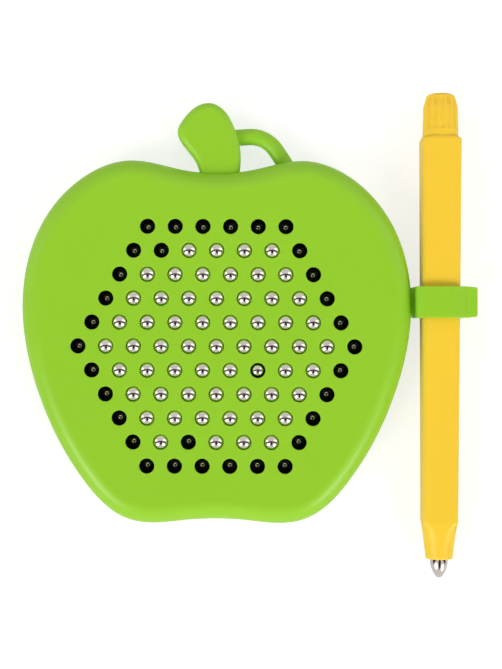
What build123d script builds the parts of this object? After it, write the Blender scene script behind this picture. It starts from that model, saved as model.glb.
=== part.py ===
"""Apple-shaped magnetic ball drawing board with a clip-on magnetic pen.

Millimetres. The board lies on its back on z = 0 with the ball field's centre on the Z axis:
+Z points out of the drawing face, +Y towards the stem and +X towards the pen.
"""
import os
from math import hypot, sqrt

from build123d import *

# ---------------------------------------------------------------- ball field
ball_diameter = 4.76        # 3/16 inch bearing ball
ball_pitch = 8.0            # centre to centre, in a regular triangular pattern
rings = 5                   # rings of holes round the middle one
window_overlap = 0.18       # how much smaller than a ball's radius its window in the face is
ball_travel = 4.4           # from the lowered to the raised place
half_sunk_drop = 0.9        # how far the one half-sunk ball has slipped back down
stop_gap = 0.06             # left between a ball and its stops
well_fit = 0.22             # round a ball in the tray's guide bore
grip_fit = 0.07             # round a ball in the soft sheet that holds it by friction
drawn_field_radius = 40.0   # field that the outlines below are drawn round; they move out with it

# ---------------------------------------------------------------- thicknesses
face_plate = 0.7            # front shell over the ball field
wall = 2.0                  # front shell elsewhere, and the back cover's rim
grip_thickness = 1.8
tray_floor = 1.2
tray_stand = 2.2            # ribs between the back cover's floor and the tray
back_floor = 2.0
back_height = 4.0           # seam between the back cover and the front shell
front_edge_radius = 5.5
back_edge_radius = 2.5

# ---------------------------------------------------------------- inner frame
tray_margin = 4.5           # from the outer ball centres to the tray's side
tray_corner_radius = 4.0
tray_fit = 0.1              # round the tray and the grip sheet
fence_wall = 1.2
fence_height = 3.0          # above the tray's underside
ledge_width = 3.0           # under the tray's edge
lip_height = 1.5            # of the back cover's tongue inside the front shell
lip_wall = 1.0
lip_fit = 0.1
lip_gap = 1.0               # cut out of the tongue beside a key
boss_radius = 2.8
pad_radius = 4.0
drawn_screw_places = [(38, 33), (-38, 33), (36, -30), (-36, -30), (0, -44.2)]
screw_shank_radius = 1.3
screw_head_radius = 2.5
screw_head_height = 1.5
screw_head_round = 0.5
screw_cross = 2.6           # length of the driver recess's arms
screw_cross_width = 0.6
screw_cross_depth = 0.9
screw_length = 7.0          # under the head
screw_point = 0.6           # chamfer at the shank's end
screw_recess = 0.6          # head below the back face
screw_fit = 0.05            # radial, round the shank in its boss
screw_clear = 0.15          # radial, round the screw in the back cover

# ---------------------------------------------------------------- stem and loop
stem_thickness = 8.0
stem_bottom = 2.5           # underside above the back face
stem_edge_radius = 2.2
neck_width = 12.2
neck_x = 0.6
neck_length = 4.6           # from the stem's base into the board
neck_clear = 3.0            # how far the slot is cut past the stem's base
stem_flange_width = 17.0
stem_flange_height = 6.0
flange_thickness = 2.0
flange_corner = 1.0
key_fit = 0.1               # between a moulded-in key and its slot
flange_gap = 0.3            # between the stem's flange and the wall
loop_radius = 2.4
loop_z = 5.2
loop_peg = 6.0              # the loop's end inside the board

# ---------------------------------------------------------------- pen
pen_top_width = 11.4        # barrel across its flats, under the shoulder
pen_bottom_width = 10.2     # and above the nose
pen_edge_radius = 1.5
pen_bore_radius = 4.0
shoulder_top_y = 61.7
shoulder_y = 60.7
nose_y = -51.2
nose_end_y = -62.0
nose_end_diameter = 8.0
plug_radius = 5.25
plug_rim_radius = 5.05      # where the crown turns in
plug_rim_y = 70.2
plug_top_radius = 4.25
plug_top_y = 73.2
plug_dome = 1.3
plug_spigot = 7.5
flutes = 16
flute_radius = 1.0
flute_depth = 0.25
flute_start_y = 64.0
magnet_radius = 3.0
magnet_length = 10.0
magnet_drop = 1.5           # its lower end below the start of the nose
circle_flat = 0.02          # flat left on a square rounded into a circle
tip_radius = 2.62
tip_collar = 1.5
tip_straight = 0.4          # cylinder showing below the nose
tip_ogive_radius = 8.0
tip_blunt = 1.3             # radius of the tip's rounded point
pen_fit = 0.05              # radial, for the plug, the magnet and the tip

# ---------------------------------------------------------------- pen clip
clip_y = 13.05
clip_standoff = 0.98        # from the board's widest place to the clip's web
clip_width = 9.1
clip_web = 2.0
clip_crown = 1.9            # strap over the pen
clip_jaw = 1.3              # strap under the pen
clip_gap = 0.15             # round the pen
clip_hook = 0.8             # how far the hooks reach over the pen's side
clip_hook_run = 1.2
clip_lip = 3.3              # flared mouth past the hooks
clip_flare = 1.3            # how far the mouth opens again
clip_tip = 0.9              # thickness at the flared end
clip_slope_start = 2.1      # where the crown starts to thin, before the hook
clip_valley = 0.5           # crown's top above the channel, over the hook
clip_corner_radius = 1.2
clip_neck_width = 8.0
clip_neck_height = 5.6
clip_neck_radius = 1.5
clip_neck_z = 5.6
clip_flange_width = 12.0
clip_flange_height = 5.2
clip_flange_gap = 0.62      # between the clip's flange and the wall at the board's widest place

# ---------------------------------------------------------------- sizes that follow
ball_radius = ball_diameter / 2
hole_radius = ball_radius - window_overlap
well_radius = ball_radius + well_fit
grip_hole_radius = ball_radius + grip_fit
row_step = ball_pitch * sqrt(3) / 2
field_growth = rings * ball_pitch - drawn_field_radius
seat_drop = sqrt((ball_radius + stop_gap) ** 2 - hole_radius ** 2)
tray_bottom = back_floor + tray_stand
lowered_z = tray_bottom + tray_floor + stop_gap + ball_radius
raised_z = lowered_z + ball_travel
plate_under = raised_z + seat_drop
face_z = plate_under + face_plate
tray_top = plate_under - grip_thickness
cavity_top = face_z - wall
field_apothem = rings * row_step + tray_margin
stem_z = stem_bottom + stem_thickness / 2
magnet_bottom_y = nose_y - magnet_drop
magnet_top_y = magnet_bottom_y + magnet_length
tip_seat_y = magnet_bottom_y - tip_collar


def pen_width(y):
    """Width of the tapered barrel across its flats."""
    share = (y - nose_y) / (shoulder_y - nose_y)
    return pen_bottom_width + share * (pen_top_width - pen_bottom_width)


def outwards(place):
    """A place on the board, moved straight out from its middle as the ball field grows."""
    share = 1 + field_growth / hypot(*place)
    return (place[0] * share, place[1] * share)


def upwards(place):
    """A place on the stem or its loop, moved along Y as the ball field grows."""
    return (place[0], place[1] + field_growth)


screw_places = [outwards(place) for place in drawn_screw_places]

# Right half of the apple, from the dip at the stem round to the dip in the base.
apple_half = [outwards(place) for place in [
    (0, 50.6), (9, 51.3), (26, 54.2), (40.4, 48.4), (52.4, 33.3), (56.8, 12.5), (52, -14),
    (39, -39), (26.2, -50.3), (18.9, -51.6), (9, -50.8), (0, -50.35),
]]

# Stem outline, from the right end of its base over the top to the left end.
stem_outline = [upwards(place) for place in [
    (6.4, 50.2), (6.75, 57.0), (4.9, 63.9), (2.0, 68.9), (-2.0, 71.1), (-6.0, 70.2),
    (-9.9, 66.5), (-11.7, 62.5), (-9.6, 58.4), (-6.2, 53.7), (-5.0, 50.2),
]]

# Lanyard loop: start inside the stem, two tangent arcs, and the entry into the board.
loop_start = upwards((2.5, 61.2))
loop_bend = upwards((9.2, 61.65))
loop_middle = upwards((17.0, 57.9))
loop_entry = upwards((19.7, 53.9))

# The pen stands off the board's widest place by the clip's web and its channel.
board_side = max(x for x, y in apple_half)
channel_half = pen_width(clip_y + clip_width / 2) / 2 + clip_gap
web_x = board_side + clip_standoff
pen_x = web_x + clip_web + channel_half
pen_z = clip_jaw + channel_half
clip_neck_run = clip_standoff + wall + clip_flange_gap


def ball_place(column, row):
    """Centre of one hole: column counts pitches along X, row counts rows along Y."""
    return (column * ball_pitch, row * row_step)


def row_columns(row):
    """Columns of one row, from left to right."""
    count = 2 * rings + 1 - abs(row)
    return [index - (count - 1) / 2 for index in range(count)]


all_places = [ball_place(column, row) for row in range(rings, -rings - 1, -1)
              for column in row_columns(row)]

# ================================================================ outlines
with BuildLine() as apple_line:
    right_side = Spline(*apple_half, tangents=[(1, 0), (-1, 0)])

inset_steps = 16            # places where an inset outline is worked out from the outer one


def apple_face(inset):
    """Area inside the apple's outline, moved inwards by inset."""
    shares = [step / inset_steps for step in range(inset_steps + 1)]
    moved = [right_side @ share + (right_side % share).rotate(Axis.Z, -90) * inset for share in shares]
    with BuildSketch() as face:
        with BuildLine():
            half = Spline(*moved, tangents=[(1, 0), (-1, 0)])
            mirror(half, about=Plane.YZ)
        make_face()
    return face.sketch


with BuildSketch() as apple:
    with BuildLine():
        add(right_side)
        mirror(right_side, about=Plane.YZ)
    make_face()


def field_hexagon(margin):
    """Hexagon round the ball field, margin wider than the tray on every side."""
    with BuildSketch() as hexagon:
        RegularPolygon(radius=field_apothem + margin, side_count=6, major_radius=False)
        fillet(hexagon.vertices(), tray_corner_radius + margin)
    return hexagon.sketch


# ================================================================ keys: shared slot shapes
neck_plane = Plane(origin=(neck_x, stem_outline[0][1], stem_z), x_dir=(1, 0, 0), z_dir=(0, -1, 0))
clip_plane = Plane(origin=(web_x, clip_y, clip_neck_z), x_dir=(0, 1, 0), z_dir=(-1, 0, 0))

with BuildLine() as loop_path:
    first_run = Line(loop_start, loop_bend)
    first_arc = TangentArc(loop_bend, loop_middle, tangent=first_run % 1)
    second_arc = TangentArc(loop_middle, loop_entry, tangent=first_arc % 1)
    inward = second_arc % 1
    last_run = Line(loop_entry, Vector(*loop_entry) + inward * loop_peg)
loop_centreline = loop_path.wires()[0].moved(Location((0, 0, loop_z)))
peg_plane = Plane(origin=Vector(*loop_entry, loop_z) - inward * loop_radius, z_dir=inward)

with BuildPart() as key_slots:
    with BuildSketch(neck_plane.offset(-neck_clear)):
        RectangleRounded(neck_width + 2 * key_fit, stem_thickness + 2 * key_fit,
                         stem_edge_radius + key_fit)
    extrude(amount=neck_clear + neck_length)
    with BuildSketch(clip_plane):
        RectangleRounded(clip_neck_width + 2 * key_fit, clip_neck_height + 2 * key_fit,
                         clip_neck_radius + key_fit)
    extrude(amount=clip_neck_run + flange_thickness)
    with BuildSketch(peg_plane):
        Circle(loop_radius + key_fit)
    extrude(amount=loop_radius + loop_peg + key_fit)

# ================================================================ front shell
with BuildPart() as front_shell:
    with BuildSketch(Plane.XY.offset(back_height)):
        add(apple.sketch)
    extrude(amount=face_z - back_height)
    fillet(front_shell.faces().sort_by(Axis.Z)[-1].edges(), front_edge_radius)
    with BuildPart(mode=Mode.PRIVATE) as front_cavity:
        with BuildSketch(Plane.XY.offset(back_height)):
            add(apple_face(wall))
        extrude(amount=cavity_top - back_height)
        fillet(front_cavity.faces().sort_by(Axis.Z)[-1].edges(), front_edge_radius - wall)
    add(front_cavity.part, mode=Mode.SUBTRACT)
    with BuildSketch(Plane.XY.offset(cavity_top)):
        add(field_hexagon(tray_fit + fence_wall))
    extrude(amount=tray_top - cavity_top)
    with BuildSketch(Plane.XY.offset(tray_top)):
        add(field_hexagon(tray_fit))
    extrude(amount=plate_under - tray_top, mode=Mode.SUBTRACT)
    with BuildSketch(Plane.XY.offset(plate_under)):
        with Locations(all_places):
            Circle(hole_radius)
    extrude(amount=face_plate, mode=Mode.SUBTRACT)
    with BuildSketch(Plane.XY.offset(back_height)):
        with Locations(screw_places):
            Circle(boss_radius)
    extrude(amount=cavity_top - back_height)
    with BuildSketch(Plane.XY.offset(back_height)):
        with Locations(screw_places):
            Circle(screw_shank_radius + screw_fit)
    extrude(amount=screw_length, mode=Mode.SUBTRACT)
    add(key_slots.part, mode=Mode.SUBTRACT)

# ================================================================ back cover
with BuildPart() as back_cover:
    with BuildSketch():
        add(apple.sketch)
    extrude(amount=back_height)
    fillet(back_cover.faces().sort_by(Axis.Z)[0].edges(), back_edge_radius)
    with BuildSketch(Plane.XY.offset(back_floor)):
        add(apple_face(wall))
    extrude(amount=back_height - back_floor, mode=Mode.SUBTRACT)
    with BuildSketch(Plane.XY.offset(back_floor)):
        with Locations(screw_places):
            Circle(pad_radius)
    extrude(amount=back_height - back_floor)
    with BuildSketch(Plane.XY.offset(back_floor)):
        add(field_hexagon(tray_fit + fence_wall))
    extrude(amount=tray_stand + fence_height)
    with BuildSketch(Plane.XY.offset(tray_bottom)):
        add(field_hexagon(tray_fit))
    extrude(amount=fence_height, mode=Mode.SUBTRACT)
    with BuildSketch(Plane.XY.offset(back_floor)):
        add(field_hexagon(-ledge_width))
        with Locations((0, 0, 0), (0, 2 * row_step, 0), (0, -2 * row_step, 0)):
            Rectangle(4 * field_apothem, fence_wall, mode=Mode.SUBTRACT)
    extrude(amount=tray_stand, mode=Mode.SUBTRACT)
    with BuildSketch(Plane.XY.offset(back_floor)):
        add(apple_face(wall + lip_fit))
        add(apple_face(wall + lip_fit + lip_wall), mode=Mode.SUBTRACT)
        with Locations((neck_x, stem_outline[0][1])):
            Rectangle(stem_flange_width + 2 * lip_gap, 2 * (neck_length + flange_thickness),
                      mode=Mode.SUBTRACT)
        with Locations(loop_entry):
            Circle(loop_radius + loop_peg + lip_gap, mode=Mode.SUBTRACT)
        with Locations((web_x, clip_y)):
            Rectangle(2 * (clip_neck_run + flange_thickness + lip_gap), clip_flange_width + 2 * lip_gap,
                      mode=Mode.SUBTRACT)
    extrude(amount=back_height - back_floor + lip_height)
    with Locations(Plane.XY.reverse()):
        with Locations([(x, -y) for x, y in screw_places]):
            CounterBoreHole(screw_shank_radius + screw_clear, screw_head_radius + screw_clear,
                            screw_head_height + screw_recess, back_height)
    add(key_slots.part, mode=Mode.SUBTRACT)

# ================================================================ ball tray and grip sheet
with BuildPart() as ball_tray:
    with BuildSketch(Plane.XY.offset(tray_bottom)):
        add(field_hexagon(0))
    extrude(amount=tray_top - tray_bottom)
    with BuildSketch(Plane.XY.offset(tray_bottom + tray_floor)):
        with Locations(all_places):
            Circle(well_radius)
    extrude(amount=tray_top - tray_bottom - tray_floor, mode=Mode.SUBTRACT)

with BuildPart() as grip_sheet:
    with BuildSketch(Plane.XY.offset(tray_top)):
        add(field_hexagon(0))
        with Locations(all_places):
            Circle(grip_hole_radius, mode=Mode.SUBTRACT)
    extrude(amount=grip_thickness)

# ================================================================ screws
with BuildPart() as cover_screws:
    with BuildSketch(Plane.XY.offset(screw_recess)):
        with Locations(screw_places):
            Circle(screw_head_radius)
    extrude(amount=screw_head_height)
    fillet(cover_screws.edges().filter_by(GeomType.CIRCLE).group_by(Axis.Z)[0], screw_head_round)
    with BuildSketch(Plane.XY.offset(screw_recess)):
        with Locations(screw_places):
            Rectangle(screw_cross, screw_cross_width)
            Rectangle(screw_cross_width, screw_cross)
    extrude(amount=screw_cross_depth, mode=Mode.SUBTRACT)
    with BuildSketch(Plane.XY.offset(screw_recess + screw_head_height)):
        with Locations(screw_places):
            Circle(screw_shank_radius)
    extrude(amount=screw_length)
    chamfer(cover_screws.edges().filter_by(GeomType.CIRCLE).group_by(Axis.Z)[-1], screw_point)

# ================================================================ stem with lanyard loop
with BuildPart() as stem_with_loop:
    with BuildSketch(Plane.XY.offset(stem_bottom)):
        with BuildLine():
            Spline(*stem_outline)
            Line(stem_outline[-1], stem_outline[0])
        make_face()
    extrude(amount=stem_thickness)
    stem_edges = stem_with_loop.edges().filter_by(GeomType.BSPLINE)
    fillet(stem_edges, stem_edge_radius)
    with BuildSketch(neck_plane):
        RectangleRounded(neck_width, stem_thickness, stem_edge_radius)
    extrude(amount=neck_length)
    flange_y = apple_half[0][1] - wall - flange_gap
    with BuildSketch(Plane(origin=(neck_x, flange_y, back_floor + key_fit), x_dir=(1, 0, 0),
                           z_dir=(0, -1, 0))):
        with Locations((0, stem_flange_height / 2 + lip_height)):
            RectangleRounded(stem_flange_width, stem_flange_height, flange_corner)
    extrude(amount=flange_thickness)
    with BuildSketch(Plane(origin=loop_centreline @ 0, z_dir=loop_centreline % 0)):
        Circle(loop_radius)
    sweep(path=loop_centreline)

# ================================================================ pen clip
mouth_x = pen_x + channel_half
hook_x = mouth_x + clip_hook_run
lip_x = hook_x + clip_lip
channel_top = pen_z + channel_half
channel_bottom = pen_z - channel_half
crown_z = channel_top + clip_crown
lip_under = channel_top - clip_hook + clip_flare

with BuildPart() as pen_clip:
    with BuildSketch(Plane(origin=(0, clip_y - clip_width / 2, 0), x_dir=(1, 0, 0), z_dir=(0, -1, 0))):
        with BuildLine():
            Polyline(
                (web_x, 0), (web_x, crown_z),
                (mouth_x - clip_slope_start, crown_z), (hook_x, channel_top + clip_valley),
                (lip_x, lip_under + clip_tip), (lip_x, lip_under),
                (hook_x, channel_top - clip_hook), (mouth_x, channel_top),
                (web_x + clip_web, channel_top), (web_x + clip_web, channel_bottom),
                (mouth_x, channel_bottom), (hook_x, channel_bottom + clip_hook),
                (lip_x, clip_tip), (lip_x, 0), close=True,
            )
        make_face()
    extrude(amount=-clip_width)
    outer_corners = pen_clip.edges().filter_by(Axis.Y).group_by(Axis.X)[0]
    fillet(outer_corners, clip_corner_radius)
    fillet(pen_clip.edges().filter_by(Axis.Y).group_by(Axis.X)[-1], clip_tip / 3)
    with BuildSketch(clip_plane.offset(-clip_web / 2)):
        RectangleRounded(clip_neck_width, clip_neck_height, clip_neck_radius)
    extrude(amount=clip_web / 2 + clip_neck_run)
    with BuildSketch(clip_plane.offset(clip_neck_run)):
        RectangleRounded(clip_flange_width, clip_flange_height, flange_corner)
    extrude(amount=flange_thickness)

# ================================================================ pen


def pen_plane(y):
    """Plane across the pen at one height, facing its top end."""
    return Plane(origin=(pen_x, y, pen_z), x_dir=(1, 0, 0), z_dir=(0, 1, 0))


# Sections of the barrel from the nose up: height, width and corner radius.
barrel_sections = [
    (nose_end_y, nose_end_diameter, nose_end_diameter / 2 - circle_flat),
    (nose_y, pen_bottom_width, pen_edge_radius),
    (shoulder_y, pen_top_width, pen_edge_radius),
    (shoulder_top_y, 2 * plug_radius, plug_radius - circle_flat),
]

# Stepped bore from the top down: start, end and radius.
barrel_bores = [
    (shoulder_top_y, magnet_top_y, pen_bore_radius),
    (magnet_top_y, tip_seat_y, magnet_radius + pen_fit),
    (tip_seat_y, nose_end_y, tip_radius + pen_fit),
]

with BuildPart() as pen_barrel:
    for span in zip(barrel_sections, barrel_sections[1:]):
        for y, width, corner in span:
            with BuildSketch(pen_plane(y)):
                RectangleRounded(width, width, corner)
        loft(ruled=True)
    for start, end, radius in barrel_bores:
        with BuildSketch(pen_plane(start)):
            Circle(radius)
        extrude(amount=end - start, mode=Mode.SUBTRACT)

with BuildPart() as pen_end_plug:
    with BuildSketch(pen_plane(shoulder_top_y - plug_spigot)):
        Circle(pen_bore_radius - pen_fit)
    extrude(amount=plug_spigot)
    with BuildSketch(Plane(origin=(pen_x, 0, pen_z), x_dir=(1, 0, 0), z_dir=(0, 0, 1))):
        with BuildLine():
            Polyline((0, plug_top_y + plug_dome), (0, shoulder_top_y), (plug_radius, shoulder_top_y),
                     (plug_rim_radius, plug_rim_y), (plug_top_radius, plug_top_y))
            TangentArc((0, plug_top_y + plug_dome), (plug_top_radius, plug_top_y), tangent=(1, 0))
        make_face()
    revolve(axis=Axis((pen_x, 0, pen_z), (0, 1, 0)))
    with BuildSketch(pen_plane(flute_start_y)):
        with PolarLocations(plug_radius - flute_depth + flute_radius, flutes):
            Circle(flute_radius)
    extrude(amount=plug_top_y + plug_dome - flute_start_y, mode=Mode.SUBTRACT)

with BuildPart() as pen_magnet:
    with BuildSketch(pen_plane(magnet_top_y)):
        Circle(magnet_radius)
    extrude(amount=-magnet_length)

tip_shank_end = nose_end_y - tip_straight
tip_ogive_offset = tip_ogive_radius - tip_radius
blunt_drop = sqrt((tip_ogive_radius - tip_blunt) ** 2 - tip_ogive_offset ** 2)
blunt_angle = blunt_drop / (tip_ogive_radius - tip_blunt)
with BuildPart() as pen_tip:
    with BuildSketch(Plane(origin=(pen_x, 0, pen_z), x_dir=(1, 0, 0), z_dir=(0, 0, 1))):
        with BuildLine():
            blunt_y = tip_shank_end - blunt_drop
            side = (tip_ogive_radius * sqrt(1 - blunt_angle ** 2) - tip_ogive_offset,
                    tip_shank_end - tip_ogive_radius * blunt_angle)
            Polyline((0, magnet_bottom_y), (magnet_radius, magnet_bottom_y), (magnet_radius, tip_seat_y),
                     (tip_radius, tip_seat_y), (tip_radius, tip_shank_end))
            TangentArc((tip_radius, tip_shank_end), side, tangent=(0, -1))
            TangentArc((0, blunt_y - tip_blunt), side, tangent=(1, 0))
            Line((0, blunt_y - tip_blunt), (0, magnet_bottom_y))
        make_face()
    revolve(axis=Axis((pen_x, 0, pen_z), (0, 1, 0)))

# ================================================================ balls
half_sunk_place = (1.5, -1)
lowered_places = [(-2, 4), (-1, -4)]        # inside the outer ring, which is all lowered


def ring_of(column, row):
    """Number of the hexagonal ring that a hole lies on, 0 in the middle."""
    return round(max(abs(row), abs(column) + abs(row) / 2))


def ball_height(column, row):
    """Height of a ball's centre as it stands at rest."""
    if ring_of(column, row) == rings or (column, row) in lowered_places:
        return lowered_z
    if (column, row) == half_sunk_place:
        return raised_z - half_sunk_drop
    return raised_z


def ball_node(column, row):
    """Node of a ball: one of its own inside, one for each side on the two outer rings."""
    ring = ring_of(column, row)
    if ring < rings - 1 or (column, row) in lowered_places:
        number = row_columns(row).index(column) + 1
        return f"steel_ball_row{rings + 1 - row:02d}_{number:02d}"
    hand = "left" if column < 0 else "right"
    if abs(row) == ring:
        side = "top" if row > 0 else "bottom"
    elif ring == rings:
        side = hand
    else:
        side = f"upper_{hand}" if row >= 0 else f"lower_{hand}"
    return f"steel_balls_{'rim' if ring == rings else 'inner'}_{side}"


ball_nodes = {}
for row in range(rings, -rings - 1, -1):
    for column in row_columns(row):
        centre = (*ball_place(column, row), ball_height(column, row))
        ball_nodes.setdefault(ball_node(column, row), []).append(centre)

# ================================================================ files
os.makedirs("parts", exist_ok=True)


def save(name, part):
    """Label a finished piece and write it."""
    part.label = name
    export_step(part, f"parts/{name}.step")


save("front_shell", front_shell.part)
save("back_cover", back_cover.part)
save("ball_tray", ball_tray.part)
save("grip_sheet", grip_sheet.part)
save("cover_screws", cover_screws.part)
save("stem_with_loop", stem_with_loop.part)
save("pen_clip", pen_clip.part)
save("pen_barrel", pen_barrel.part)
save("pen_end_plug", pen_end_plug.part)
save("pen_magnet", pen_magnet.part)
save("pen_tip", pen_tip.part)
for name, centres in ball_nodes.items():
    with BuildPart() as steel_balls:
        with Locations(centres):
            Sphere(ball_radius)
    save(name, steel_balls.part)
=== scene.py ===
import math

import bpy
import numpy as np
from mathutils import Matrix, Vector


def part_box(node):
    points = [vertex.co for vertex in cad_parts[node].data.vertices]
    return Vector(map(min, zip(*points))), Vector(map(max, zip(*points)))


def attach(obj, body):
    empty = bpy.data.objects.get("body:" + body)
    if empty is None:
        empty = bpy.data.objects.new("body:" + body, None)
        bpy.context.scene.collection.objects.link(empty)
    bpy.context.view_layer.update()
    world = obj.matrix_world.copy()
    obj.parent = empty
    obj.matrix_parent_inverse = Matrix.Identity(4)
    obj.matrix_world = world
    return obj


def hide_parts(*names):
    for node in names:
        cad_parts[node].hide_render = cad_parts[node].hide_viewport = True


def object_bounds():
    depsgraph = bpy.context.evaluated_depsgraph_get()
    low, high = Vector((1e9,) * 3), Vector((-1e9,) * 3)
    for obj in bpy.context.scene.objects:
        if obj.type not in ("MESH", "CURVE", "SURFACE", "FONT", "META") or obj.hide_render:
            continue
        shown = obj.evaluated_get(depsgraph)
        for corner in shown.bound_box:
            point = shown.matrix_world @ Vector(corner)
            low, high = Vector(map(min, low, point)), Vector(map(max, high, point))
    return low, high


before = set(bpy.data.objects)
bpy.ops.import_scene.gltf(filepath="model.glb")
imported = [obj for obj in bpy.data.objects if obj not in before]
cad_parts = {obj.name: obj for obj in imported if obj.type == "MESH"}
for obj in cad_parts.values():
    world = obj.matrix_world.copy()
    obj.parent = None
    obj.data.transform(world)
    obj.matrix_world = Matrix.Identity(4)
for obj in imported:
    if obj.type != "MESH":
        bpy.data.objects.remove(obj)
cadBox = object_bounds()
mm = 0.001
print("frame loaded:", len(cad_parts), "nodes")


cameraSettings = {
    "place": (10.0, 3.457, 434.0),      # mm, straight above the target
    "target": (10.0, 3.457, 14.0),      # mm, on the drawing face
    "lens": 78.27,
    "roll": 0.2,                        # degrees
}


def addCamera(s):
    data = bpy.data.cameras.new("camera")
    data.lens = s["lens"]
    data.sensor_width = 36.0
    data.clip_start = 0.01
    data.clip_end = 20.0
    camera = bpy.data.objects.new("camera", data)
    bpy.context.scene.collection.objects.link(camera)
    place = Vector(s["place"]) * mm
    back = (place - Vector(s["target"]) * mm).normalized()
    right = Vector((0, 1, 0)).cross(back).normalized()
    upright = Matrix((right, back.cross(right), back)).transposed()
    turn = upright @ Matrix.Rotation(math.radians(s["roll"]), 3, "Z")
    camera.matrix_world = Matrix.Translation(place) @ turn.to_4x4()
    bpy.context.scene.camera = camera


addCamera(cameraSettings)
bpy.context.scene.view_settings.view_transform = "Standard"


def addNode(tree, kind, inputs=None, **settings):
    # one shader node, its settings, and its inputs as values or links
    node = tree.nodes.new(kind)
    for name, value in settings.items():
        setattr(node, name, value)
    for name, value in (inputs or {}).items():
        if isinstance(value, bpy.types.NodeSocket):
            tree.links.new(value, node.inputs[name])
        else:
            node.inputs[name].default_value = value
    return node


def mathNode(tree, operation, first, second=0.0):
    return addNode(tree, "ShaderNodeMath", {0: first, 1: second}, operation=operation).outputs[0]


def mixColour(tree, factor, first, second):
    node = addNode(tree, "ShaderNodeMix", data_type="RGBA")
    for socket, value in ((node.inputs[0], factor), (node.inputs[6], first), (node.inputs[7], second)):
        if isinstance(value, bpy.types.NodeSocket):
            tree.links.new(value, socket)
        else:
            socket.default_value = value
    return node.outputs[2]


def noise(tree, where, scale, detail=3.0, roughness=0.5):
    return addNode(tree, "ShaderNodeTexNoise",
                   {"Vector": where, "Scale": scale, "Detail": detail, "Roughness": roughness}).outputs["Fac"]


def mapRange(tree, value, low, high, toLow, toHigh, kind="LINEAR"):
    return addNode(tree, "ShaderNodeMapRange",
                   {"Value": value, "From Min": low, "From Max": high, "To Min": toLow, "To Max": toHigh},
                   interpolation_type=kind).outputs["Result"]


def mottle(tree, where, scale, toLow=0.0, toHigh=1.0, detail=3.0):
    # noise with its middle values spread over a range
    return mapRange(tree, noise(tree, where, scale, detail), 0.3, 0.7, toLow, toHigh)


# The studio is painted on the world as a polished ball shows it from above: a direction is halved towards
# the zenith, and the halved direction's x and y are the place on the ball, with 0.707 at the horizon.

studio = {
    "grey": (1.0, 0.965, 0.93, 1),      # the room, a little warm
    "greyLevel": 0.70,
    "lampLevel": 8.0,
    "shoulderLevel": 1.6,
    "gapLevel": 0.015,
    # place x, y, half widths x, y, turn in degrees
    "lamps": [(-0.36, -0.29, 0.115, 0.115, 0), (0.35, -0.33, 0.115, 0.11, 0)],
    "shoulders": [(-0.56, 0.16, 0.15, 0.13, 10), (0.50, 0.20, 0.26, 0.10, -18)],
    "gaps": [(0.03, -0.16, 0.13, 0.24, 0), (0.0, 0.03, 0.18, 0.09, 0)],
    "archCentre": -1.035,
    "archRadius": 1.095,
    "archHalf": 0.075,
    "backdrop": (0.93, 0.93, 0.93, 1),
}


def patch(tree, where, shape, softness=0.18):
    # 1 inside an ellipse and 0 outside it, with a soft edge
    x, y, halfX, halfY, turn = shape
    mapped = addNode(tree, "ShaderNodeMapping",
                     {"Vector": where, "Location": (x, y, 0), "Rotation": (0, 0, math.radians(turn)),
                      "Scale": (halfX, halfY, 1)}, vector_type="TEXTURE").outputs[0]
    reach = addNode(tree, "ShaderNodeVectorMath", {0: mapped}, operation="LENGTH").outputs["Value"]
    return mapRange(tree, reach, 1 + softness, 1 - softness, 0.0, 1.0, "SMOOTHSTEP")


def addStudio(s):
    world = bpy.data.worlds.new("studio")
    bpy.context.scene.world = world
    world.use_nodes = True
    tree = world.node_tree
    tree.nodes.clear()
    direction = addNode(tree, "ShaderNodeTexCoord").outputs["Generated"]
    raised = addNode(tree, "ShaderNodeVectorMath", {0: direction, 1: (0, 0, 1)}, operation="ADD").outputs[0]
    halved = addNode(tree, "ShaderNodeVectorMath", {0: raised}, operation="NORMALIZE").outputs[0]
    flat = addNode(tree, "ShaderNodeVectorMath", {0: halved, 1: (1, 1, 0)}, operation="MULTIPLY").outputs[0]

    level = s["greyLevel"]
    for shapes, target in ((s["shoulders"], s["shoulderLevel"]), (s["lamps"], s["lampLevel"])):
        for shape in shapes:
            mask = patch(tree, flat, shape)
            more = mathNode(tree, "MULTIPLY", mask, target - s["greyLevel"])
            level = mathNode(tree, "ADD", more, level)
    fromArch = addNode(tree, "ShaderNodeVectorMath", {0: flat, 1: (0, s["archCentre"], 0)},
                       operation="DISTANCE").outputs["Value"]
    offArch = mathNode(tree, "ABSOLUTE", mathNode(tree, "SUBTRACT", fromArch, s["archRadius"]))
    dark = mapRange(tree, offArch, s["archHalf"] * 1.4, s["archHalf"] * 0.6, 0.0, 1.0, "SMOOTHSTEP")
    for shape in s["gaps"]:
        dark = mathNode(tree, "MAXIMUM", dark, patch(tree, flat, shape, 0.3))
    light = mathNode(tree, "SUBTRACT", 1.0, dark)
    level = mathNode(tree, "ADD", mathNode(tree, "MULTIPLY", level, light), s["gapLevel"])

    seen = addNode(tree, "ShaderNodeLightPath").outputs["Is Camera Ray"]
    room = addNode(tree, "ShaderNodeBackground", {"Color": s["grey"], "Strength": level})
    backdrop = addNode(tree, "ShaderNodeBackground", {"Color": s["backdrop"], "Strength": 1.0})
    both = addNode(tree, "ShaderNodeMixShader", {0: seen, 1: room.outputs[0], 2: backdrop.outputs[0]})
    addNode(tree, "ShaderNodeOutputWorld", {"Surface": both.outputs[0]})


addStudio(studio)
print("camera and studio ready")


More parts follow.
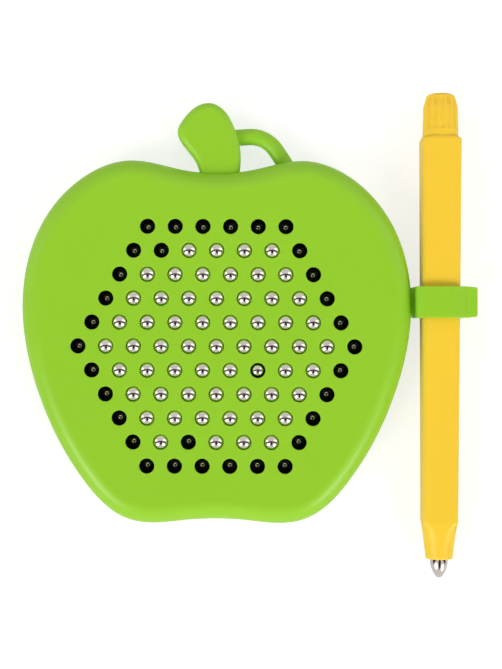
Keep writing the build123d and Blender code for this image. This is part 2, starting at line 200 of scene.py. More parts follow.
finishes = {
    "green": {
        "colour": (0.325, 0.675, 0.031), "shade": (0.310, 0.655, 0.029),
        "roughness": 0.33, "gloss": 0.36,
    },
    "yellow": {
        "colour": (1.0, 0.68, 0.050), "shade": (1.0, 0.645, 0.050),
        "roughness": 0.33, "gloss": 0.26,
    },
}
plasticBody = {
    "share": 0.18,              # of the light that goes under the skin
    "depth": 0.0012,            # metres
    "spread": (0.7, 1.0, 0.2),  # of that depth, for red, green and blue
}


def newMaterial(name, **constants):
    material = bpy.data.materials.new(name)
    material.use_nodes = True
    tree = material.node_tree
    shader = tree.nodes["Principled BSDF"]
    for socket, value in constants.items():
        shader.inputs[socket.replace("_", " ")].default_value = value
    where = addNode(tree, "ShaderNodeTexCoord").outputs["Object"]
    return material, tree, shader, where


def addBump(tree, shader, height, strength, distance):
    bump = addNode(tree, "ShaderNodeBump", {"Height": height, "Strength": strength, "Distance": distance})
    tree.links.new(bump.outputs[0], shader.inputs["Normal"])


def mouldedPlastic(name, finish, grainScale=2600.0):
    # satin moulded plastic: slow colour drift, fine moulded grain and a gloss that varies a little
    material, tree, shader, where = newMaterial(
        name, IOR=1.47, Specular_IOR_Level=finish["gloss"], Subsurface_Weight=plasticBody["share"],
        Subsurface_Scale=plasticBody["depth"], Subsurface_Radius=plasticBody["spread"])
    slow = noise(tree, where, 26.0, 2.0)
    fine = noise(tree, where, grainScale, 2.0)
    drift = mapRange(tree, slow, 0.2, 0.8, 0.0, 1.0)
    colour = mixColour(tree, drift, (*finish["shade"], 1), (*finish["colour"], 1))
    tree.links.new(colour, shader.inputs["Base Color"])
    smudge = noise(tree, where, 140.0, 4.0)
    rough = mapRange(tree, smudge, 0.2, 0.8, finish["roughness"] - 0.02, finish["roughness"] + 0.03)
    tree.links.new(rough, shader.inputs["Roughness"])
    addBump(tree, shader, fine, 0.12, 0.00002)
    return material


def polishedSteel(name):
    # nickel-plated bearing steel: slight tint drift and hairline scuffs in the polish
    material, tree, shader, where = newMaterial(name, Metallic=1.0)
    tint = mottle(tree, where, 320.0, detail=2.0)
    colour = mixColour(tree, tint, (0.74, 0.70, 0.66, 1), (0.83, 0.80, 0.77, 1))
    tree.links.new(colour, shader.inputs["Base Color"])
    scuff = mapRange(tree, noise(tree, where, 1500.0, 5.0, 0.7), 0.45, 0.75, 0.05, 0.14)
    tree.links.new(scuff, shader.inputs["Roughness"])
    addBump(tree, shader, noise(tree, where, 700.0, 3.0), 0.05, 0.00002)
    return material


def blackTrayAndWellShade(name):
    # near-black plastic, dark enough that the wells under the lowered balls come out dark: the tray's own
    # colour and painted shade in the wells
    material, tree, shader, where = newMaterial(name, IOR=1.45, Specular_IOR_Level=0.3)
    drift = mottle(tree, where, 90.0)
    colour = mixColour(tree, drift, (0.006, 0.010, 0.005, 1), (0.012, 0.018, 0.008, 1))
    tree.links.new(colour, shader.inputs["Base Color"])
    tree.links.new(mottle(tree, where, 900.0, 0.55, 0.75), shader.inputs["Roughness"])
    addBump(tree, shader, noise(tree, where, 3200.0), 0.15, 0.00003)
    return material


def gripFoamAndWellShade(name):
    # closed-cell foam: small round cells, near-black so that the wells under the lowered balls come out dark:
    # the foam's own colour and painted shade in the wells
    material, tree, shader, where = newMaterial(name, Specular_IOR_Level=0.2)
    cells = addNode(tree, "ShaderNodeTexVoronoi", {"Vector": where, "Scale": 2400.0}).outputs["Distance"]
    tone = mapRange(tree, cells, 0.1, 0.6, 0.0, 1.0)
    colour = mixColour(tree, tone, (0.008, 0.010, 0.008, 1), (0.022, 0.026, 0.020, 1))
    tree.links.new(colour, shader.inputs["Base Color"])
    tree.links.new(mapRange(tree, cells, 0.0, 0.6, 0.8, 0.95), shader.inputs["Roughness"])
    addBump(tree, shader, cells, 0.5, 0.0001)
    return material


def zincScrew(name):
    # zinc-plated steel with a turned face
    material, tree, shader, where = newMaterial(name, Metallic=1.0)
    tone = mottle(tree, where, 600.0, detail=4.0)
    colour = mixColour(tree, tone, (0.50, 0.52, 0.54, 1), (0.66, 0.67, 0.68, 1))
    tree.links.new(colour, shader.inputs["Base Color"])
    tree.links.new(mottle(tree, where, 2200.0, 0.22, 0.38), shader.inputs["Roughness"])
    addBump(tree, shader, noise(tree, where, 2600.0, 4.0), 0.2, 0.00003)
    return material


def magnetMetal(name):
    material, tree, shader, where = newMaterial(name, Metallic=1.0)
    tone = mottle(tree, where, 450.0, detail=4.0)
    colour = mixColour(tree, tone, (0.42, 0.42, 0.43, 1), (0.56, 0.56, 0.57, 1))
    tree.links.new(colour, shader.inputs["Base Color"])
    tree.links.new(mottle(tree, where, 1800.0, 0.25, 0.4), shader.inputs["Roughness"])
    return material


materials = {
    "green_shell": mouldedPlastic("applePlastic", finishes["green"]),
    "pen_yellow": mouldedPlastic("penPlastic", finishes["yellow"]),
    "nickel_steel": polishedSteel("ballSteel"),
    "black_tray": blackTrayAndWellShade("trayPlasticAndWellShade"),
    "grip_foam": gripFoamAndWellShade("gripFoamAndWellShade"),
    "screw_steel": zincScrew("screwZinc"),
    "magnet_metal": magnetMetal("magnetNickel"),
}
print("materials ready")


# A shell is (points, faces): an array of points in millimetres, and a list of index arrays whose rows are
# faces, each array with one number of corners.

def gridShell(points, closeRows=False, closeColumns=True):
    # quads of a grid of points: rows along the first axis and columns along the second, and either may close
    # on itself
    rows, columns = points.shape[:2]
    index = np.arange(rows * columns).reshape(rows, columns)
    if closeRows:
        index = np.vstack([index, index[:1]])
    if closeColumns:
        index = np.hstack([index, index[:, :1]])
    quads = np.stack([index[:-1, :-1], index[:-1, 1:], index[1:, 1:], index[1:, :-1]], -1).reshape(-1, 4)
    return points.reshape(-1, 3), [quads]


def joinShells(*shells):
    # puts shells one after the other, with each one's indices moved on by the points before it
    starts = np.cumsum([0] + [len(points) for points, _ in shells])
    faces = [face + start for (_, faceList), start in zip(shells, starts) for face in faceList]
    return np.vstack([points for points, _ in shells]), faces


def mergePoints(shell):
    # Points that round to the same ten-thousandth of a millimetre become one, and quads with a double corner
    # become triangles.
    points, faces = shell
    keys = np.round(points * 1e4).astype(np.int64)
    _, first, inverse = np.unique(keys, axis=0, return_index=True, return_inverse=True)
    inverse = inverse.reshape(-1)
    kept = []
    for face in faces:
        face = inverse[face]
        if face.shape[1] != 4:
            kept.append(face)
            continue
        same = face == np.roll(face, -1, axis=1)
        kept.append(face[~same.any(axis=1)])
        for corner in range(4):
            single = same[:, corner] & (same.sum(axis=1) == 1)
            kept.append(np.delete(face[single], corner, axis=1))
    return points[first], [face for face in kept if len(face)]


def outwards(shell):
    # turns every face round if the volume, summed as tetrahedra from the origin, comes out negative
    points, faces = shell
    volume = 0.0
    for face in faces:
        for corner in range(1, face.shape[1] - 1):
            a, b, c = points[face[:, 0]], points[face[:, corner]], points[face[:, corner + 1]]
            volume += np.einsum("ij,ij->i", a, np.cross(b, c)).sum()
    return (points, [face[:, ::-1] for face in faces]) if volume < 0 else shell


def addPiece(name, shell, slotName, body, nodes=(), sharpAngle=40.0):
    # one finished piece: shell to mesh, material, body and the CAD nodes that it stands for
    points, faces = shell
    mesh = bpy.data.meshes.new(name)
    mesh.vertices.add(len(points))
    mesh.vertices.foreach_set("co", (points * mm).astype(np.float32).ravel())
    corners = np.concatenate([face.ravel() for face in faces]).astype(np.int32)
    sizes = np.concatenate([np.full(len(face), face.shape[1]) for face in faces])
    mesh.loops.add(len(corners))
    mesh.loops.foreach_set("vertex_index", corners)
    mesh.polygons.add(len(sizes))
    mesh.polygons.foreach_set("loop_start", (np.cumsum(sizes) - sizes).astype(np.int32))
    mesh.update(calc_edges=True)
    if mesh.validate():
        print("mended", name)
    mesh.shade_smooth()
    mesh.set_sharp_from_angle(angle=math.radians(sharpAngle))
    piece = bpy.data.objects.new(name, mesh)
    bpy.context.scene.collection.objects.link(piece)
    mesh.materials.append(materials[slotName])
    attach(piece, body)
    if nodes:
        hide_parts(*nodes)
    return piece


def nodeBox(name):
    low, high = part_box(name)
    return np.array(low) / mm, np.array(high) / mm


def smoothCurve(knots, closed, perSpan):
    # Cubic curve through the knots with continuous curvature: the slopes m solve
    # m[i-1]/h[i-1] + 2 m[i] (1/h[i-1] + 1/h[i]) + m[i+1]/h[i] = 3 (rise before / h^2 + rise after / h^2)
    knots = np.asarray(knots, float)
    if closed:
        knots = np.vstack([knots, knots[:1]])
    rises = np.diff(knots, axis=0)
    lengths = np.linalg.norm(rises, axis=1)
    count = len(knots)
    system = np.zeros((count, count))
    right = np.zeros((count, 2))
    inner = np.arange(1, count - 1)
    before, after = 1 / lengths[:-1], 1 / lengths[1:]
    system[inner, inner - 1], system[inner, inner + 1] = before, after
    system[inner, inner] = 2 * (before + after)
    right[inner] = 3 * (rises[:-1] * before[:, None] ** 2 + rises[1:] * after[:, None] ** 2)
    first, last = 1 / lengths[0], 1 / lengths[-1]
    if closed:
        system[0, 0], system[0, 1], system[0, -2] = 2 * (first + last), first, last
        right[0] = 3 * (rises[-1] * last ** 2 + rises[0] * first ** 2)
        system[-1, 0], system[-1, -1] = 1, -1
    else:
        system[0, 0], system[0, 1], right[0] = 2 * first, first, 3 * rises[0] * first ** 2
        system[-1, -1], system[-1, -2], right[-1] = 2 * last, last, 3 * rises[-1] * last ** 2
    slopes = np.linalg.solve(system, right)
    t = np.linspace(0, 1, perSpan, endpoint=False)[None, :, None]
    h = lengths[:, None, None]
    start, end = knots[:-1, None], knots[1:, None]
    curve = (start * (1 + 2 * t) * (1 - t) ** 2 + end * t * t * (3 - 2 * t)
             + slopes[:-1, None] * h * t * (1 - t) ** 2 - slopes[1:, None] * h * t * t * (1 - t))
    curve = curve.reshape(-1, 2)
    return curve if closed else np.vstack([curve, knots[-1:]])


def leftNormals(loop):
    # unit normals of a closed outline that runs anticlockwise, pointing inwards
    along = np.roll(loop, -1, axis=0) - np.roll(loop, 1, axis=0)
    along /= np.linalg.norm(along, axis=1)[:, None]
    return np.stack([-along[:, 1], along[:, 0]], -1)


def placed(loop, inset, height):
    # an outline moved inwards by inset and lifted to a height
    moved = loop + leftNormals(loop) * inset
    return np.column_stack([moved, np.full(len(moved), float(height))])


# The face is a field of hexagonal cells, each a ring-shaped grid from its border through the hole to its
# border underneath. A second grid runs from the field's zigzag border over the rounded edge of the apple,
# down to the seam, and back up inside.

shellSettings = {
    "edgeRadius": 5.5,
    "wall": 2.0,
    "seamChamfer": 0.22,
    "holeRadius": 2.2,
    "holeEdge": 0.15,           # rounding of the holes
    "edgeStep": 1.3,            # the rings beside that rounding, as a share of it
    "guard": 0.3,               # distance of the rings beside the large rounding
    "plate": 0.7,
    "ceiling": 2.0,             # face down to the cavity's ceiling
    "samples": 48,              # round each hole
    "outline": [
        (0, 50.6), (9, 51.3), (26, 54.2), (40.4, 48.4), (52.4, 33.3), (56.8, 12.5), (52, -14),
        (39, -39), (26.2, -50.3), (18.9, -51.6), (9, -50.8), (0, -50.35),
    ],
}
ballField = {"rings": 5, "lowered": [(-2, 4), (-1, -4)]}

middleBall = nodeBox("steel_ball_row06_06")
nextBall = nodeBox("steel_ball_row06_07")
ballPitch = nextBall[0][0] - middleBall[0][0]
ballRadius = (middleBall[1][0] - middleBall[0][0]) / 2
rowStep = ballPitch * math.sqrt(3) / 2
shellLow, shellHigh = nodeBox("front_shell")


def rowColumns(row):
    count = 2 * ballField["rings"] + 1 - abs(row)
    return np.arange(count) - (count - 1) / 2


fieldPlaces = [(column, row) for row in range(ballField["rings"], -ballField["rings"] - 1, -1)
               for column in rowColumns(row)]
holeCentres = np.array(fieldPlaces) * (ballPitch, rowStep)


def appleOutline(s):
    # the right half mirrored, run anticlockwise, and fitted to the shell's box
    half = np.array(s["outline"], float)
    left = half[1:-1] * (-1, 1)
    curve = smoothCurve(np.vstack([half, left[::-1]]), True, 120)[::-1]
    low, high = curve.min(axis=0), curve.max(axis=0)
    return shellLow[:2] + (curve - low) / (high - low) * (shellHigh - shellLow)[:2]


appleLoop = appleOutline(shellSettings)


def roundedEdge(radius, steps, inset, height):
    # quarter round as (inset, height) pairs, from the side wall up to the flat
    turn = np.linspace(0, math.pi / 2, steps)
    return np.column_stack([inset + radius * (1 - np.cos(turn)), height + radius * np.sin(turn)])


def frontShellShell(s):
    top = shellHigh[2]
    under = top - s["plate"]
    around = np.arange(s["samples"]) * 2 * math.pi / s["samples"]
    fold = (around + math.pi / 6) % (math.pi / 3) - math.pi / 6
    border = ballPitch / 2 / np.cos(fold)
    turn = np.linspace(0, math.pi / 2, 5)
    edge = s["holeEdge"]
    beside = edge * s["edgeStep"]
    radii = np.concatenate([[s["holeRadius"] + beside], s["holeRadius"] + edge * (1 - np.sin(turn)),
                            [s["holeRadius"]] * 2])
    heights = np.concatenate([[top], top - edge * (1 - np.cos(turn)), [top - beside, under]])
    rings = np.vstack([border, np.repeat(radii[:, None], s["samples"], 1), border])
    levels = np.concatenate([[top], heights, [under]])
    cell = np.stack([rings * np.cos(around), rings * np.sin(around),
                     np.repeat(levels[:, None], s["samples"], 1)], -1)
    centres = np.column_stack([holeCentres, np.zeros(len(holeCentres))])
    cells = [gridShell(cell + centre) for centre in centres]

    # border points used by one cell only, in order round the field
    rim = (cell[0][None] + centres[:, None])[..., :2]
    middles = (rim + np.roll(rim, -1, axis=1)) / 2
    keys = np.round(middles.reshape(-1, 2) * 1e4).astype(np.int64)
    _, inverse, uses = np.unique(keys, axis=0, return_inverse=True, return_counts=True)
    single = uses[inverse.reshape(-1)] == 1
    zigzag = rim.reshape(-1, 2)[single]
    zigzag = zigzag[np.argsort(np.arctan2(zigzag[:, 1], zigzag[:, 0]))]

    # the outline's points in the same directions
    bearing = np.arctan2(appleLoop[:, 1], appleLoop[:, 0])
    order = np.argsort(bearing)
    want = np.arctan2(zigzag[:, 1], zigzag[:, 0])
    loop = np.column_stack([np.interp(want, bearing[order], appleLoop[order, axis], period=2 * math.pi)
                            for axis in (0, 1)])
    seam = shellLow[2]
    radius = s["edgeRadius"]
    chamfer = s["seamChamfer"]
    guard = s["guard"]
    outside = [(chamfer, seam), (0, seam + chamfer), (0, seam + 2 * chamfer), (0, top - radius - guard)]
    outside += list(roundedEdge(radius, 14, 0, top - radius)) + [(radius + guard, top)]
    inside = [(s["wall"], seam)]
    inside += list(roundedEdge(radius - s["wall"], 8, s["wall"], top - s["ceiling"] - radius + s["wall"]))
    skin = [placed(loop, inset, height) for inset, height in outside]
    lining = [placed(loop, inset, height) for inset, height in inside]
    shares = np.linspace(0, 1, 5)[1:, None]
    flatEnd = np.column_stack([zigzag, np.full(len(zigzag), top)])
    skin += [skin[-1] * (1 - share) + flatEnd * share for share in shares]
    insideEnd = flatEnd - (0, 0, s["plate"])
    lining += [lining[-1] * (1 - share) + insideEnd * share for share in shares]
    wrap = gridShell(np.array(lining[::-1] + skin))
    return outwards(mergePoints(joinShells(wrap, *cells)))


def alongCurve(loop, count):
    # a closed outline resampled at equal steps of its length
    closed = np.vstack([loop, loop[:1]])
    length = np.concatenate([[0], np.cumsum(np.linalg.norm(np.diff(closed, axis=0), axis=1))])
    want = np.linspace(0, length[-1], count, endpoint=False)
    return np.column_stack([np.interp(want, length, closed[:, axis]) for axis in (0, 1)])


addPiece("frontShell", frontShellShell(shellSettings), "green_shell", "board", ["front_shell"])
print("front shell made")


def roundedSlab(loop, low, high, radius, steps=7):
    # An outline with thickness: rings move inwards along the outline's normals by r(1 - cos a) while they
    # rise by r sin a, on both faces, and a flat face closes each end.
    turn = np.linspace(0, math.pi / 2, steps)
    insets = radius * (1 - np.cos(turn))
    rise = radius * np.sin(turn)
    support = radius * 0.08
    upper = [(0, high - radius - support)] + list(zip(insets, high - radius + rise))
    upper.append((radius + support, high))
    lower = [(inset, low + high - height) for inset, height in upper[::-1]]
    rings = np.array([placed(loop, inset, height) for inset, height in lower + upper])
    points, faces = gridShell(rings)
    ends = np.arange(len(loop))
    caps = np.array([ends[::-1], ends + len(points) - len(loop)])
    return outwards((points, faces + [caps]))


stemSettings = {
    "edgeRadius": 2.2,
    "outline": [
        (6.4, 50.2), (6.75, 57.0), (4.9, 63.9), (2.0, 68.9), (-2.0, 71.1), (-6.0, 70.2),
        (-9.9, 66.5), (-11.7, 62.5), (-9.6, 58.4), (-6.2, 53.7), (-5.0, 50.2),
    ],
    "root": 46.5,               # where the stem ends inside the board
}
loopSettings = {
    "start": (2.5, 61.2),
    "bend": (9.2, 61.65),
    "middle": (17.0, 57.9),
    "entry": (19.7, 53.9),
    "peg": 4.0,
    "radius": 2.4,
    "height": 5.2,
}


def stemShell(s, low, high):
    side = smoothCurve(s["outline"], False, 24)
    root = [(side[-1][0] + 0.2, s["root"]), (side[0][0] - 0.2, s["root"])]
    return roundedSlab(alongCurve(np.vstack([side, root]), 320), low[2], high[2], s["edgeRadius"], 9)


def tangentArc(start, heading, end, count):
    # Part of a circle that leaves start along heading and reaches end: the chord to a share t of the turn has
    # the length |chord| sin(d t) / sin(d) and the direction heading + d t, with d the angle from heading to
    # chord.
    chord = np.subtract(end, start)
    turn = math.atan2(chord[1], chord[0]) - heading
    share = np.linspace(0, 1, count)[1:]
    reach = np.hypot(*chord) * np.sin(turn * share) / math.sin(turn)
    angle = heading + turn * share
    steps = np.column_stack([reach * np.cos(angle), reach * np.sin(angle)])
    return np.asarray(start) + steps, heading + 2 * turn


def tubeShell(path, radius, height, around=40):
    # a circle of one radius carried along a flat path, square to it, with both ends closed to a point
    along = np.gradient(path, axis=0)
    along /= np.linalg.norm(along, axis=1)[:, None]
    sideways = np.column_stack([-along[:, 1], along[:, 0], np.zeros(len(along))])
    centre = np.column_stack([path, np.full(len(path), height)])
    angle = np.arange(around) * 2 * math.pi / around
    upwards = np.array([0, 0, 1.0])
    ring = sideways[:, None] * np.cos(angle)[None, :, None] + np.sin(angle)[None, :, None] * upwards
    body = centre[:, None] + radius * ring
    ends = [np.repeat(centre[end][None, None], around, 1) for end in (0, -1)]
    return outwards(mergePoints(gridShell(np.concatenate([ends[0], body, ends[1]]))))


def loopShell(s):
    heading = math.atan2(*np.subtract(s["bend"], s["start"])[::-1])
    first, heading = tangentArc(s["bend"], heading, s["middle"], 24)
    second, heading = tangentArc(s["middle"], heading, s["entry"], 16)
    run = np.linspace(0, 1, 8)
    start = np.asarray(s["start"]) + run[:, None] * np.subtract(s["bend"], s["start"])
    end = second[-1] + run[1:, None] * s["peg"] * np.array([math.cos(heading), math.sin(heading)])
    return tubeShell(np.vstack([start, first, second, end]), s["radius"], s["height"])


stemLow, stemHigh = nodeBox("stem_with_loop")
addPiece("appleStem", stemShell(stemSettings, stemLow, stemHigh), "green_shell", "board", ["stem_with_loop"])
addPiece("lanyardLoop", loopShell(loopSettings), "green_shell", "board", ["stem_with_loop"])
print("stem and loop made")


clipSettings = {
    "y": 13.05, "width": 9.1,
    "web": 2.0, "crown": 1.9, "jaw": 1.3,
    "hook": 0.8, "hookRun": 1.2, "lip": 3.3, "flare": 1.3, "tip": 0.9,
    "slopeStart": 2.1, "valley": 0.5,
    # rounding of the profile's corners, in the order of the corners in clipShell
    "cornerRadii": [1.2, 1.8, 1.0, 0.5, 0.35, 0.3, 0.5, 0.4, 0.5, 0.5, 0.4, 0.5, 0.3, 0.3],
    "edgeRadius": 0.24,         # under the profile's smallest corner
    "mouthCorner": 1.1,         # rounding of the mouth's corners, seen from the front
    "neck": (4.0, 8.6, 6.4, 5.8),       # length, width, height and height of its middle
    "neckEdge": 1.4,
    "neckEnd": 0.1,             # rounding of the neck's ends
}


def roundedCorners(points, radii, steps=7):
    # Each corner becomes an arc: its centre lies on the bisector, its ends at radius / tan(half the corner's
    # angle).
    points = np.asarray(points, float)
    loop = []
    neighbours = zip(np.roll(points, 1, axis=0), points, np.roll(points, -1, axis=0), radii)
    for before, corner, after, radius in neighbours:
        back = (before - corner) / np.linalg.norm(before - corner)
        forth = (after - corner) / np.linalg.norm(after - corner)
        half = math.acos(np.clip(back @ forth, -1, 1)) / 2
        bisector = (back + forth) / np.linalg.norm(back + forth)
        centre = corner + bisector * radius / math.sin(half)
        start = corner + back * radius / math.tan(half)
        end = corner + forth * radius / math.tan(half)
        first = math.atan2(*(start - centre)[::-1])
        sweep = (math.atan2(*(end - centre)[::-1]) - first + math.pi) % (2 * math.pi) - math.pi
        angle = first + sweep * np.linspace(0, 1, steps)
        loop.append(centre + radius * np.column_stack([np.cos(angle), np.sin(angle)]))
    return np.vstack(loop)


def clipShell(s, low, high):
    mouth = high[0] - s["lip"] - s["hookRun"]
    bottom, crown = low[2], high[2]
    top = crown - s["crown"]
    floor = bottom + s["jaw"]
    web = mouth - (top - floor) - s["web"]
    hook = mouth + s["hookRun"]
    lip = high[0]
    lipUnder = top - s["hook"] + s["flare"]
    corners = [
        (web, bottom), (web, crown), (mouth - s["slopeStart"], crown), (hook, top + s["valley"]),
        (lip, lipUnder + s["tip"]), (lip, lipUnder), (hook, top - s["hook"]), (mouth, top),
        (web + s["web"], top), (web + s["web"], floor), (mouth, floor), (hook, floor + s["hook"]),
        (lip, bottom + s["tip"]), (lip, bottom),
    ]
    profile = roundedCorners(corners, s["cornerRadii"])[::-1]
    half = s["width"] / 2
    points, faces = roundedSlab(profile, s["y"] - half, s["y"] + half, s["edgeRadius"], 5)
    x, across, z = points[:, 0], points[:, 2] - s["y"], points[:, 1]
    past = np.clip((x - lip + s["mouthCorner"]) / s["mouthCorner"], 0, 1)
    narrow = 1 - s["mouthCorner"] / half * (1 - np.sqrt(1 - past ** 2))
    strap = outwards((np.column_stack([x, s["y"] + across * narrow, z]), faces))
    length, width, height, middle = s["neck"]
    turn = np.arange(4) * math.pi / 2 + math.pi / 4
    square = np.column_stack([np.sign(np.cos(turn)) * width / 2, np.sign(np.sin(turn)) * height / 2])
    section = roundedCorners(square, [s["neckEdge"]] * 4)
    points, faces = roundedSlab(section, web - length, web + s["web"] / 2, s["neckEnd"], 3)
    neck = outwards((np.column_stack([points[:, 2], s["y"] + points[:, 0], middle + points[:, 1]]), faces))
    return joinShells(strap, neck)


clipLow, clipHigh = nodeBox("pen_clip")
addPiece("penClip", clipShell(clipSettings, clipLow, clipHigh), "green_shell", "board", ["pen_clip"], 30.0)
print("pen clip made")


penSettings = {
    "topWidth": 11.4, "bottomWidth": 10.2, "edgeRadius": 1.5,
    "shoulderRun": 1.0, "noseRun": 10.8, "noseEnd": 8.0,
    "softening": 0.3,           # width of the softened edges across the pen
    "noseEdge": [(0.955, 0.0), (0.99, 0.06), (1.0, 0.22)],      # size and height of the end's rings
    "noseCrease": 0.9985,       # size of the ring in the crease above the nose
    "shoulderCrease": 0.997,    # and of the one under the shoulder
    "shoulderShares": (0.12, 0.4, 0.7, 0.95),
    "bore": 4.0, "magnetBore": 3.05, "tipBore": 2.67, "magnetTop": -42.7, "tipSeat": -54.2,
    "cornerSteps": 9,
}
plugSettings = {
    "radius": 5.25, "rimRadius": 5.05, "rim": 70.2, "topRadius": 4.25, "top": 73.2,
    "spigot": 7.5, "spigotRadius": 3.95,
    "flutes": 16, "fluteRadius": 1.0, "fluteDepth": 0.42, "fluteStart": 64.0,
    "fluteRunIn": 0.6, "fluteRunOut": 0.3,      # length of a flute's shallow ends
    "around": 256,
}
tipSettings = {
    "radius": 2.62, "straight": 0.4, "ogive": 8.0, "blunt": 1.3,
    "collarRadius": 3.0, "collar": 1.5, "seat": penSettings["tipSeat"], "around": 72,
}

barrelLow, barrelHigh = nodeBox("pen_barrel")
plugTop = nodeBox("pen_end_plug")[1][1]
penX, penZ = ((barrelLow + barrelHigh) / 2)[[0, 2]]


def penSection(width, corner, steps):
    # rounded square across the pen as (x, z): four quarter rounds, and four points along each flat
    half = width / 2
    turn = np.linspace(0, math.pi / 2, steps)
    arc = (half - corner) + corner * np.column_stack([np.cos(turn), np.sin(turn)])
    flat = half - corner
    shares = np.array([0.9, 0.3, -0.3, -0.9])
    side = np.column_stack([flat * shares, np.full(4, half)])
    quarter = np.vstack([arc, side])
    turns = [np.array([[math.cos(a), math.sin(a)], [-math.sin(a), math.cos(a)]])
             for a in np.arange(4) * math.pi / 2]
    return np.vstack([quarter @ matrix for matrix in turns])


def barrelShell(s):
    steps = s["cornerSteps"]
    noseEnd, top = barrelLow[1], barrelHigh[1]
    nose, shoulder = noseEnd + s["noseRun"], top - s["shoulderRun"]
    soft = s["softening"]
    tiny = 0.02
    end = penSection(s["noseEnd"], s["noseEnd"] / 2 - tiny, steps)
    low = penSection(s["bottomWidth"], s["edgeRadius"], steps)
    high = penSection(s["topWidth"], s["edgeRadius"], steps)
    collar = penSection(2 * plugSettings["radius"], plugSettings["radius"] - tiny, steps)

    def ring(section, y):
        return np.column_stack([penX + section[:, 0], np.full(len(section), y), penZ + section[:, 1]])

    def between(first, second, share):
        return first * (1 - share) + second * share

    def noseRing(share):
        # the square turns round soon after the nose begins: its corners grow with 1 - share^3
        width = between(s["noseEnd"], s["bottomWidth"], share)
        corner = between(s["edgeRadius"], width / 2 - tiny, 1 - share ** 3)
        return ring(penSection(width, corner, steps), between(noseEnd, nose, share))

    rings = [ring(end * size, noseEnd + rise) for size, rise in s["noseEdge"]]
    rings += [noseRing(share) for share in np.linspace(0.06, 0.97, 24)]
    rings += [ring(low * s["noseCrease"], nose), ring(between(low, high, 0.003), nose + soft)]
    rings += [ring(between(low, high, share), between(nose, shoulder, share))
              for share in np.linspace(0.02, 0.99, 24)]
    rings += [ring(high, shoulder - soft), ring(high * s["shoulderCrease"], shoulder)]
    rings += [ring(between(high, collar, share), between(shoulder, top, share))
              for share in s["shoulderShares"]]
    rings += [ring(collar, top)]
    bores = [(s["bore"], top), (s["bore"], s["magnetTop"]), (s["magnetBore"], s["magnetTop"]),
             (s["magnetBore"], s["tipSeat"]), (s["tipBore"], s["tipSeat"]), (s["tipBore"], noseEnd)]
    rings += [ring(penSection(2 * radius, radius - tiny / 4, steps), y) for radius, y in bores]
    return outwards(mergePoints(gridShell(np.array(rings), closeRows=True)))


def turned(profile, around, radiusOf=None):
    # (radius, y) pairs turned round the pen's axis; radiusOf may change the radius by angle and height
    profile = np.asarray(profile, float)
    angle = np.arange(around) * 2 * math.pi / around
    radius = np.repeat(profile[:, :1], around, 1)
    height = np.repeat(profile[:, 1:], around, 1)
    if radiusOf is not None:
        radius = radiusOf(radius, height, angle[None])
    points = np.stack([penX + radius * np.cos(angle), height, penZ + radius * np.sin(angle)], -1)
    return outwards(mergePoints(gridShell(points)))


def plugShell(s):
    seat = barrelHigh[1]
    top = plugTop
    side = np.linspace(0.03, 1, 26)
    crown = np.linspace(0.08, 0.94, 7)
    dome = np.linspace(0.05, 1, 10)
    profile = [(0, seat - s["spigot"]), (s["spigotRadius"], seat - s["spigot"]), (s["spigotRadius"], seat),
               (s["radius"], seat), (s["radius"], seat + 0.03)]
    profile += [(s["radius"] + (s["rimRadius"] - s["radius"]) * share, seat + (s["rim"] - seat) * share)
                for share in side]
    profile += [(s["rimRadius"] + (s["topRadius"] - s["rimRadius"]) * share,
                 s["rim"] + (s["top"] - s["rim"]) * share) for share in crown]
    rise = top - s["top"]
    profile += [(s["topRadius"] * math.cos(share * math.pi / 2),
                 s["top"] + rise * math.sin(share * math.pi / 2)) for share in dome]

    def fluted(radius, height, angle):
        # A flute is cut by a small cylinder beside the plug: its near side lies at
        # c cos d - sqrt(f^2 - c^2 sin^2 d) for an angle d from the flute's middle, c the cylinder's distance
        # and f its radius. The cylinder follows the plug's radius, and it lifts off at both ends.
        pitch = 2 * math.pi / s["flutes"]
        off = (angle + pitch / 2) % pitch - pitch / 2
        distance = radius - s["fluteDepth"] + s["fluteRadius"]
        inside = s["fluteRadius"] ** 2 - (distance * np.sin(off)) ** 2
        cut = np.where(inside > 0, distance * np.cos(off) - np.sqrt(np.maximum(inside, 0)), 2 * s["radius"])
        past = np.maximum((s["fluteStart"] - height) / s["fluteRunIn"],
                          (height - s["top"] + s["fluteRunOut"]) / s["fluteRunOut"])
        lift = np.clip(past, 0, 1) * 2 * s["fluteDepth"]
        return np.minimum(radius, cut + lift)

    return turned(profile, s["around"], fluted)


def tipShell(s):
    shank = barrelLow[1] - s["straight"]
    offset = s["ogive"] - s["radius"]
    drop = math.sqrt((s["ogive"] - s["blunt"]) ** 2 - offset ** 2)
    meet = math.asin(drop / (s["ogive"] - s["blunt"]))
    side = np.linspace(0, meet, 18)[1:]
    point = np.linspace(meet, math.pi / 2, 12)[1:]
    profile = [(0, s["seat"] + s["collar"]), (s["collarRadius"], s["seat"] + s["collar"]),
               (s["collarRadius"], s["seat"]), (s["radius"], s["seat"]), (s["radius"], shank + 0.2),
               (s["radius"], shank)]
    profile += [(s["ogive"] * math.cos(a) - offset, shank - s["ogive"] * math.sin(a)) for a in side]
    profile += [(s["blunt"] * math.cos(a), shank - drop - s["blunt"] * math.sin(a)) for a in point]
    return turned(profile, s["around"])


addPiece("penBarrel", barrelShell(penSettings), "pen_yellow", "pen", ["pen_barrel"], 50.0)
addPiece("penEndPlug", plugShell(plugSettings), "pen_yellow", "pen", ["pen_end_plug"], 50.0)
addPiece("penTip", tipShell(tipSettings), "nickel_steel", "pen", ["pen_tip"], 50.0)
print("pen made")


ballMesh = {"around": 48, "steps": 24}


def unitBall(s):
    # a ball of radius 1 as a grid of longitude and latitude, closed at both poles
    around = np.arange(s["around"]) * 2 * math.pi / s["around"]
    tilt = np.linspace(0, math.pi, s["steps"] + 1)[:, None]
    points = np.stack([np.sin(tilt) * np.cos(around), np.sin(tilt) * np.sin(around),
                       np.cos(tilt) * np.ones_like(around)], -1)
    return outwards(mergePoints(gridShell(points)))


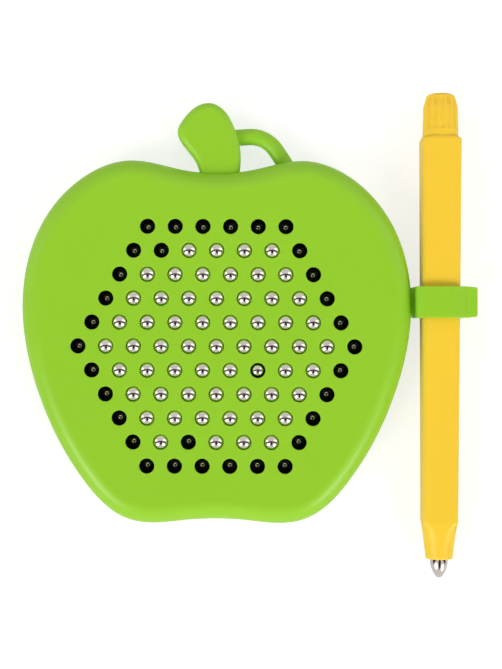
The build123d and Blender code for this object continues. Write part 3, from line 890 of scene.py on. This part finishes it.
def ballNode(column, row):
    # the node that a place on the field belongs to: one of its own inside, one for each side on the outer
    # two rings
    rings = ballField["rings"]
    ring = round(max(abs(row), abs(column) + abs(row) / 2))
    if ring < rings - 1 or (column, row) in ballField["lowered"]:
        number = list(rowColumns(row)).index(column) + 1
        return f"steel_ball_row{rings + 1 - row:02d}_{number:02d}"
    hand = "left" if column < 0 else "right"
    if abs(row) == ring:
        side = "top" if row > 0 else "bottom"
    elif ring == rings:
        side = hand
    else:
        side = f"upper_{hand}" if row >= 0 else f"lower_{hand}"
    return f"steel_balls_{'rim' if ring == rings else 'inner'}_{side}"


def addBalls():
    places = {}
    for (column, row), centre in zip(fieldPlaces, holeCentres):
        places.setdefault(ballNode(column, row), []).append(centre)
    points, faces = unitBall(ballMesh)
    for node, centres in places.items():
        low, high = nodeBox(node)
        height = (low[2] + high[2]) / 2
        balls = [(points * ballRadius + (*centre, height), faces) for centre in centres]
        addPiece("ball" + node[len("steel_ball"):], joinShells(*balls), "nickel_steel", node, [node], 180.0)


addBalls()
print("balls made")


carried = {
    "back_cover": "green_shell",
    "ball_tray": "black_tray",
    "grip_sheet": "grip_foam",
    "cover_screws": "screw_steel",
    "pen_magnet": "magnet_metal",
}
for node, slotName in carried.items():
    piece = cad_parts[node]
    piece.data.materials.clear()
    piece.data.materials.append(materials[slotName])
print("inner pieces given their materials")


floorSettings = {
    "half": 4.0,                # metres
    "drop": 0.0002,             # metres under the part
    "colour": (0.42, 0.42, 0.42, 1),
    "glow": 0.28,               # for every ray but the camera's own
    "cameraGlow": 0.72,
}


def addFloor(s):
    mesh = bpy.data.meshes.new("floor")
    half = s["half"]
    corners = [(-half, -half, 0), (half, -half, 0), (half, half, 0), (-half, half, 0)]
    mesh.from_pydata(corners, [], [(0, 1, 2, 3)])
    mesh.transform(Matrix.Translation((0, 0, cadBox[0][2] - s["drop"])))
    material, tree, shader, _ = newMaterial("floorPaper", Roughness=0.9, Specular_IOR_Level=0.1)
    shader.inputs["Base Color"].default_value = s["colour"]
    shader.inputs["Emission Color"].default_value = (1, 1, 1, 1)
    seen = addNode(tree, "ShaderNodeLightPath").outputs["Is Camera Ray"]
    tree.links.new(mapRange(tree, seen, 0, 1, s["glow"], s["cameraGlow"]), shader.inputs["Emission Strength"])
    mesh.materials.append(material)
    floor = bpy.data.objects.new("floor", mesh)
    bpy.context.scene.collection.objects.link(floor)


addFloor(floorSettings)
print("floor made")
